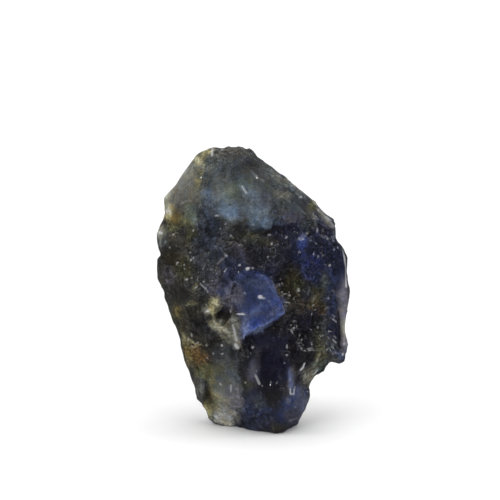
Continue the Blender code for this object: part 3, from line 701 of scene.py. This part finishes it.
def fine_relief(point, rough):
    """How far the surface stands out at a point, in mm."""
    height = WAVE_HEIGHT * rough * noise.noise(point / WAVE_SIZE)
    height += CHIP_HEIGHT * rough * chip(point)
    height += GRAIN_HEIGHT * rough * noise.noise(point / GRAIN_SIZE)
    height += SKIN_HEIGHT * noise.noise(point / SKIN_SIZE)
    return height


def refine(piece, averaged):
    """Smooths the clean faces, adds the relief, and returns how clean each point is."""
    points = vertex_values(piece, "co")
    across, up, behind = face_coordinates(points)
    on_front = before_middle(up, behind) > 0
    clean = cleanness(across, up, on_front)
    points = smoothed(points, averaged, clean, CLEAN_ROUNDS)
    for patch, rounds in SMOOTHEST:
        points = smoothed(points, averaged, in_patch(across, up, patch) * on_front, rounds)
    place(piece, points)
    normals = vertex_values(piece, "normal")
    rough = 1 - RELIEF_LOST * clean
    heights = np.array([fine_relief(Vector(p), r) for p, r in zip(points, rough)])
    # The foot stays flat.
    heights *= eased(points[:, 2], *RELIEF_STARTS)
    place(piece, points + normals * heights[:, None])
    return clean


def linear(colour):
    """A colour in linear light, from sRGB values between 0 and 255."""
    share = np.array(colour, float) / 255
    return np.where(share <= 0.04045, share / 12.92, ((share + 0.055) / 1.055) ** 2.4)


def uneven(points, size, aside):
    """A soft uneven pattern from about -1 to 1."""
    shift = Vector(aside)
    return np.array([noise.noise(Vector(p) / size + shift) for p in points])


def wandering(points, broad_aside, fine_aside):
    """How far the marks' edges wander in one direction, in mm."""
    return 0.55 * uneven(points, 1.0, broad_aside) + 0.2 * uneven(points, 0.4, fine_aside)


class Front:
    """The front's colours, painted in layers."""

    def __init__(self, points):
        self.across, self.up, _ = face_coordinates(points)
        self.shift_across = wandering(points, (3, 5, 1), (8, 2, 6))
        self.shift_up = wandering(points, (7, 1, 9), (2, 6, 4))
        self.grains = uneven(points, 0.22, (5, 9, 3))
        self.colours = np.tile(linear(COAL), (len(points), 1))

    def paint(self, share, colour):
        share = share[:, None]
        self.colours = self.colours * (1 - share) + share * linear(colour)

    def shifted(self, amount):
        """Across and up at each point, moved about so that edges wander."""
        return self.across + amount * self.shift_across, self.up + amount * self.shift_up

    def marks(self, marks):
        for middle, height, half_width, half_height, turn, soft, strength, colour in marks:
            # Small marks wander less.
            across, up = self.shifted(min(1.0, 0.15 + 0.8 * min(half_width, half_height)))
            share = in_oval(across, up, (middle, height), (half_width, half_height), turn, soft)
            # The edge breaks up into grains.
            share = np.clip(share + 1.4 * self.grains * share * (1 - share), 0.0, 1.0)
            self.paint(strength * share, colour)

    def face(self, outline, colour, soft, fade=(-9.0, -8.0)):
        """Paints one face, which fades in between two places across, or is whole."""
        across, up = self.shifted(0.3)
        share = eased(across, *fade) * eased(inset(across, up, outline), -soft, soft)
        self.paint(share, colour)

    def lines(self, lines):
        across, up = self.shifted(0.12)
        for start, end, half_width, strength, colour in lines:
            self.paint(strength * on_line(across, up, start, end, half_width), colour)


def front_shares(points, normals, averaged):
    """How much each point belongs to the front, for its colours and for its glints."""
    _, up, behind = face_coordinates(points)
    facing = sin(FACE_LEAN) * normals[:, 2] - cos(FACE_LEAN) * normals[:, 1]
    facing = averaged(facing, FACING_ROUNDS)
    near = eased(before_middle(up, behind), *MIDDLE_FADE)
    return near * eased(facing, *COLOUR_FADE), near * eased(facing, *GLINT_FADE)


def back_colours(points, colours):
    """The colours of the hidden sides, in uneven patches over the stone's broad colours."""
    drawn_out = points * (1.0, 1.0, 0.7)
    broken_edges = 0.25 * uneven(drawn_out, 0.5, (3, 3, 8))
    for size, aside, starts, ends, strength, colour in BACK_PATCHES:
        pattern = uneven(drawn_out, size, aside) + broken_edges
        share = strength * eased(pattern, starts, ends)[:, None]
        colours = colours * (1 - share) + share * linear(colour)
    return colours


def tints(points, averaged, in_front):
    """The crystal's colour at each point, before its grain."""
    front = Front(points)
    front.marks(GROUNDS + TOP_MARKS)
    broad = front.colours
    front.face(SHOULDER, SHOULDER_GREY, 0.2)
    front.marks(SHOULDER_MARKS + LEFT_MARKS)
    front.face(WEDGE, PALE, 0.2)
    front.marks(LOW_LEFT_MARKS)
    front.face(PLATE, BLUE, 0.09, PLATE_FADE)
    front.marks(PLATE_MARKS + RIGHT_MARKS + LOW_RIGHT_MARKS)
    front.colours = averaged(front.colours, COLOUR_ROUNDS)
    front.lines(LINES)
    in_front = in_front[:, None]
    return front.colours * in_front + back_colours(points, broad) * (1 - in_front)


def glints(points):
    """How much each point belongs to a painted glint or a painted highlight line of the front."""
    across, up, _ = face_coordinates(points)
    bright = np.zeros(len(points))
    for middle, height, half_length, half_width, turn, strength in PAINTED_GLINTS:
        share = in_oval(across, up, (middle, height), (half_length, half_width), turn, 0.6)
        bright = np.maximum(bright, PAINTED_GLINT_STRENGTH * strength * share)
    for start, end, half_width, strength in PAINTED_HIGHLIGHT_LINES:
        bright = np.maximum(bright, strength * on_line(across, up, start, end, half_width))
    return bright


def thinness(mesh, points, normals):
    """One where the stone is very thin behind a point, and zero where it is thick."""
    faces = [tuple(face.vertices) for face in mesh.polygons]
    tree = BVHTree.FromPolygons(points.tolist(), faces)
    thin = np.zeros(len(points))
    straight_back = np.array((0.0, cos(FACE_LEAN), -sin(FACE_LEAN)))
    for index, (point, normal) in enumerate(zip(points, normals)):
        inwards = Vector(straight_back if normal @ straight_back < 0 else -straight_back)
        distance = tree.ray_cast(Vector(point) + inwards * JUST_INSIDE, inwards, THIN)[3]
        if distance is not None:
            thin[index] = 1 - distance / THIN
    return thin


# This measure paints ridges lighter as a highlight and hollows darker as shade.
def painted_edge_light_and_shade(points, normals, averaged):
    """How sharply each point stands out from the points round it, from -1 to 1."""
    around = points
    stand_out = np.zeros(len(points))
    for rounds in EDGE_ROUNDS:
        around = averaged(around, rounds)
        height = ((points - around) * normals).sum(axis=1)
        stand_out += height / height.std()
    return np.clip(stand_out / 4, -1.0, 1.0)


class Nodes:
    """The crystal's material, its nodes made and joined in short calls."""

    def __init__(self, name):
        self.material = bpy.data.materials.new(name)
        self.material.use_nodes = True
        self.tree = self.material.node_tree
        self.coordinates = self.add("ShaderNodeTexCoord").outputs["Object"]
        self.mm = self.scaled((1000, 1000, 1000))
        self.clean = self.attribute("clean")

    def feed(self, socket, source):
        """Joins an output to a socket, or sets the socket to a fixed value."""
        if isinstance(source, bpy.types.NodeSocket):
            self.tree.links.new(source, socket)
        else:
            socket.default_value = source

    def feed_all(self, node, inputs):
        for key, source in inputs.items():
            self.feed(node.inputs[key], source)

    def add(self, kind, inputs=None, **settings):
        """A new node with its settings, and with a value or an output for each input."""
        node = self.tree.nodes.new(kind)
        for key, value in settings.items():
            setattr(node, key, value)
        self.feed_all(node, inputs or {})
        return node

    def attribute(self, name, output="Fac"):
        return self.add("ShaderNodeAttribute", attribute_name=name).outputs[output]

    def scaled(self, scale):
        """The object's coordinates times a scale."""
        inputs = {"Vector": self.coordinates, "Scale": scale}
        return self.add("ShaderNodeMapping", inputs).outputs["Vector"]

    def noise(self, vector, scale, detail=3.0, roughness=0.55, distortion=0.0):
        inputs = {
            "Vector": vector, "Scale": scale, "Detail": detail, "Roughness": roughness,
            "Distortion": distortion,
        }
        return self.add("ShaderNodeTexNoise", inputs).outputs["Fac"]

    def ranged(self, source, low, high, to_low, to_high):
        inputs = {
            "Value": source, "From Min": low, "From Max": high, "To Min": to_low, "To Max": to_high,
        }
        return self.add("ShaderNodeMapRange", inputs).outputs["Result"]

    def by_ground(self, on_broken, on_clean):
        """One value on broken ground that turns into another on clean faces."""
        return self.ranged(self.clean, 0.0, 1.0, on_broken, on_clean)

    def varied(self, vector, scale, low, high, **noise_settings):
        """A noise pattern that runs from low to high."""
        return self.ranged(self.noise(vector, scale, **noise_settings), 0.3, 0.7, low, high)

    def here_and_there(self, scale, starts, ends, strength=1.0):
        """A strength in some broad patches, and zero between them."""
        return self.ranged(self.noise(self.mm, scale, detail=2.0), starts, ends, 0.0, strength)

    def math(self, operation, *values):
        inputs = dict(enumerate(values))
        return self.add("ShaderNodeMath", inputs, operation=operation).outputs[0]

    def vector_math(self, operation, first, second, output="Vector"):
        node = self.add("ShaderNodeVectorMath", {0: first, 1: second}, operation=operation)
        return node.outputs[output]

    def product(self, first, *others):
        for other in others:
            first = self.math("MULTIPLY", first, other)
        return first

    def mixed(self, blend, share, first, second):
        node = self.add("ShaderNodeMix", data_type="RGBA", blend_type=blend)
        sockets = [socket for socket in node.inputs if socket.enabled]
        for socket, source in zip(sockets, (share, first, second)):
            self.feed(socket, source)
        return [socket for socket in node.outputs if socket.enabled][0]

    def cells(self, vector, scale):
        return self.add("ShaderNodeTexVoronoi", {"Vector": vector, "Scale": scale}).outputs

    def tilted_cells(self, scale):
        """The height of flat cells that are each tilted at random."""
        cells = self.cells(self.mm, scale)
        tilt = self.vector_math("SUBTRACT", cells["Color"], (0.5, 0.5, 0.5))
        within = self.vector_math("SUBTRACT", self.mm, cells["Position"])
        return self.vector_math("DOT_PRODUCT", tilt, within, "Value")

    def specks(self, vector, scale, radius):
        """Small specks at random places, each from faint to one, and zero between them."""
        cells = self.cells(vector, scale)
        split = self.add("ShaderNodeSeparateColor", {"Color": cells["Color"]})
        strength = self.ranged(split.outputs["Red"], 0.25, 1.0, 0.0, 1.0)
        inside = self.ranged(cells["Distance"], radius, radius * 0.5, 0.0, 1.0)
        return self.product(inside, strength)

    def bump(self, height):
        inputs = {"Strength": 1.0, "Distance": MM, "Height": height}
        return self.add("ShaderNodeBump", inputs).outputs["Normal"]


def shade(n):
    """How much darker or lighter the crystal's colour turns, painted light and shade included."""
    long_mm = n.scaled((1000, 1000, 260))
    mottle = n.varied(n.mm, 0.9, 0.75, 1.25, detail=4.0, distortion=0.8)
    smoke = n.varied(n.mm, 1.8, 0.82, 1.2, detail=4.0, roughness=0.6, distortion=1.5)
    grain_limits = n.by_ground(0.56, 0.85), n.by_ground(1.5, 1.15)
    grain = n.varied(n.mm, 3.0, *grain_limits, roughness=0.6)
    fine_limits = n.by_ground(0.5, 0.75), n.by_ground(1.5, 1.25)
    fine = n.varied(n.mm, 7.0, *fine_limits, detail=2.0)
    streaks = n.varied(long_mm, 2.2, 0.84, 1.16, detail=2.0, roughness=0.5)
    # Ridges lighter as a painted highlight, hollows darker as painted shade
    edge_limits = n.by_ground(0.65, 0.9), n.by_ground(1.35, 1.05)
    edges = n.ranged(n.attribute("edge"), -0.6, 0.8, *edge_limits)
    # Lighter where the stone is thin behind the point: a painted glow of light coming through
    painted_rim_glow = n.ranged(n.attribute("thin"), 0.0, 1.0, 1.0, 1.5)
    # Darker at small random specks
    dark_specks = n.ranged(n.specks(n.mm, 1.3, 0.16), 0.0, 1.0, 1.0, 0.35)
    return n.product(mottle, smoke, grain, fine, streaks, edges, painted_rim_glow, dark_specks, OVERALL_SHADE)


def veils(n):
    """Thin veils where healed cracks lie, in some places only."""
    from_crack = n.math("SUBTRACT", n.noise(n.mm, 0.9, roughness=0.6, distortion=2.0), 0.5)
    near_crack = n.ranged(n.math("ABSOLUTE", from_crack), 0.0, 0.012, 1.0, 0.0)
    return n.product(near_crack, n.here_and_there(0.7, 0.48, 0.6, strength=0.3))


def golden_points(n):
    """Single grains that are stained."""
    stained = n.here_and_there(0.8, 0.42, 0.58)
    return n.product(n.specks(n.mm, 4.3, 0.22), stained, n.by_ground(0.7, 0.1))


def sparkle(n):
    """The placed painted glints, and tiny painted glints at random."""
    short_mm = n.scaled((1000, 1000, 1500))
    here = n.here_and_there(1.1, 0.46, 0.62)
    tiny = n.product(n.specks(short_mm, 3.4, 0.11), here, n.by_ground(0.42, 0.2))
    return n.math("MAXIMUM", n.attribute("glint"), tiny)


def crystal_colour(n):
    """The painted tints with their grain, and what lies over them."""
    colour = n.mixed("MULTIPLY", 1.0, n.attribute("tint", "Color"), shade(n))
    warmth = n.noise(n.mm, 1.4, detail=4.0, roughness=0.6, distortion=1.0)
    cast = n.mixed("MIX", n.ranged(warmth, 0.35, 0.65, 0.0, 1.0), COOL_CAST, WARM_CAST)
    colour = n.mixed("MULTIPLY", 1.0, colour, cast)
    colour = n.mixed("MIX", veils(n), colour, VEIL_COLOUR)
    colour = n.mixed("MIX", golden_points(n), colour, GOLD_COLOUR)
    # Painted glints are laid over the colour in near white.
    return n.mixed("MIX", sparkle(n), colour, PAINTED_GLINT_COLOUR)


def crystal_material():
    n = Nodes("rough_crystal")
    roughly = n.by_ground(1.0, 0.25)
    waves = n.product(n.noise(n.mm, 2.6, detail=2.0, roughness=0.5), 0.035, roughly)
    facets = n.product(n.tilted_cells(5.0), roughly)
    shader = n.tree.nodes["Principled BSDF"]
    n.feed_all(shader, CRYSTAL_SETTINGS)
    n.feed_all(shader, {
        "Base Color": crystal_colour(n), "Roughness": n.varied(n.mm, 1.5, 0.05, 0.18),
        "Normal": n.bump(waves), "Coat Normal": n.bump(facets),
    })
    absorption = n.add("ShaderNodeVolumeAbsorption", ABSORPTION)
    output = n.tree.nodes["Material Output"]
    n.feed(output.inputs["Volume"], absorption.outputs["Volume"])
    return n.material


def crystal():
    piece = fine_copy("sapphire", "rough_crystal")
    averaged = neighbour_average(piece.data)
    clean = refine(piece, averaged)
    points = vertex_values(piece, "co")
    normals = vertex_values(piece, "normal")
    in_front, in_view = front_shares(points, normals, averaged)
    thin = averaged(thinness(piece.data, points, normals), THIN_ROUNDS)
    store(piece, "tint", tints(points, averaged, in_front), "FLOAT_COLOR")
    store(piece, "clean", clean)
    # how far each point stands out, for the painted edge highlights and painted shade
    store(piece, "edge", painted_edge_light_and_shade(points, normals, averaged))
    # thinness behind each point, for the painted rim glow
    store(piece, "thin", thin)
    # painted glints and painted highlight lines, for the material to whiten
    store(piece, "glint", glints(points) * in_view)
    place(piece, points * MM)
    piece.data.shade_smooth()
    piece.data.materials.clear()
    piece.data.materials.append(crystal_material())
    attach(piece, "root")
    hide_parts("sapphire")


def floor():
    bpy.ops.mesh.primitive_plane_add(size=FLOOR_SIZE, location=(0, 0, 0))
    plane = bpy.context.object
    plane.name = "floor"
    # The floor isn't mirrored in the stone's dark faces.
    plane.visible_glossy = False
    material = bpy.data.materials.new("floor")
    material.use_nodes = True
    shader = material.node_tree.nodes["Principled BSDF"]
    for name, value in FLOOR_SETTINGS.items():
        shader.inputs[name].default_value = value
    plane.data.materials.append(material)


def softbox(name, place_at, size, power, mirrored):
    """A square lamp that is turned to the stone's middle."""
    lamp = bpy.data.lights.new(name, "AREA")
    lamp.energy = power
    lamp.size = size
    holder = bpy.data.objects.new(name, lamp)
    bpy.context.scene.collection.objects.link(holder)
    holder.location = place_at
    aim = Vector(STONE_MIDDLE) - holder.location
    holder.rotation_mode = "QUATERNION"
    holder.rotation_quaternion = aim.to_track_quat("-Z", "Y")
    holder.visible_glossy = mirrored


def studio():
    floor()
    world = bpy.data.worlds.new("studio")
    bpy.context.scene.world = world
    world.use_nodes = True
    background = world.node_tree.nodes["Background"]
    background.inputs["Color"].default_value = (1, 1, 1, 1)
    background.inputs["Strength"].default_value = WORLD_LIGHT
    for settings in SOFTBOXES:
        softbox(*settings)
    for number, place_at in enumerate(SPARKS):
        softbox(f"spark_{number}", place_at, SPARK_SIZE, SPARK_POWER, True)
    bpy.context.scene.view_settings.view_transform = "Standard"


def camera():
    lens = bpy.data.cameras.new("camera")
    eye = bpy.data.objects.new("camera", lens)
    bpy.context.scene.collection.objects.link(eye)
    lens.sensor_width = SENSOR
    lens.lens = PIXELS_PER_MM * CAMERA_DISTANCE / MM / FRAME_PIXELS * SENSOR
    lens.clip_start = 0.01
    lens.clip_end = 20
    back = Vector((0, -cos(FACE_LEAN), sin(FACE_LEAN)))
    eye.location = upright(*AIM) + back * CAMERA_DISTANCE
    eye.rotation_mode = "QUATERNION"
    eye.rotation_quaternion = (-back).to_track_quat("-Z", "Y")
    bpy.context.scene.camera = eye


crystal()
studio()
camera()

bpy.context.view_layer.update()
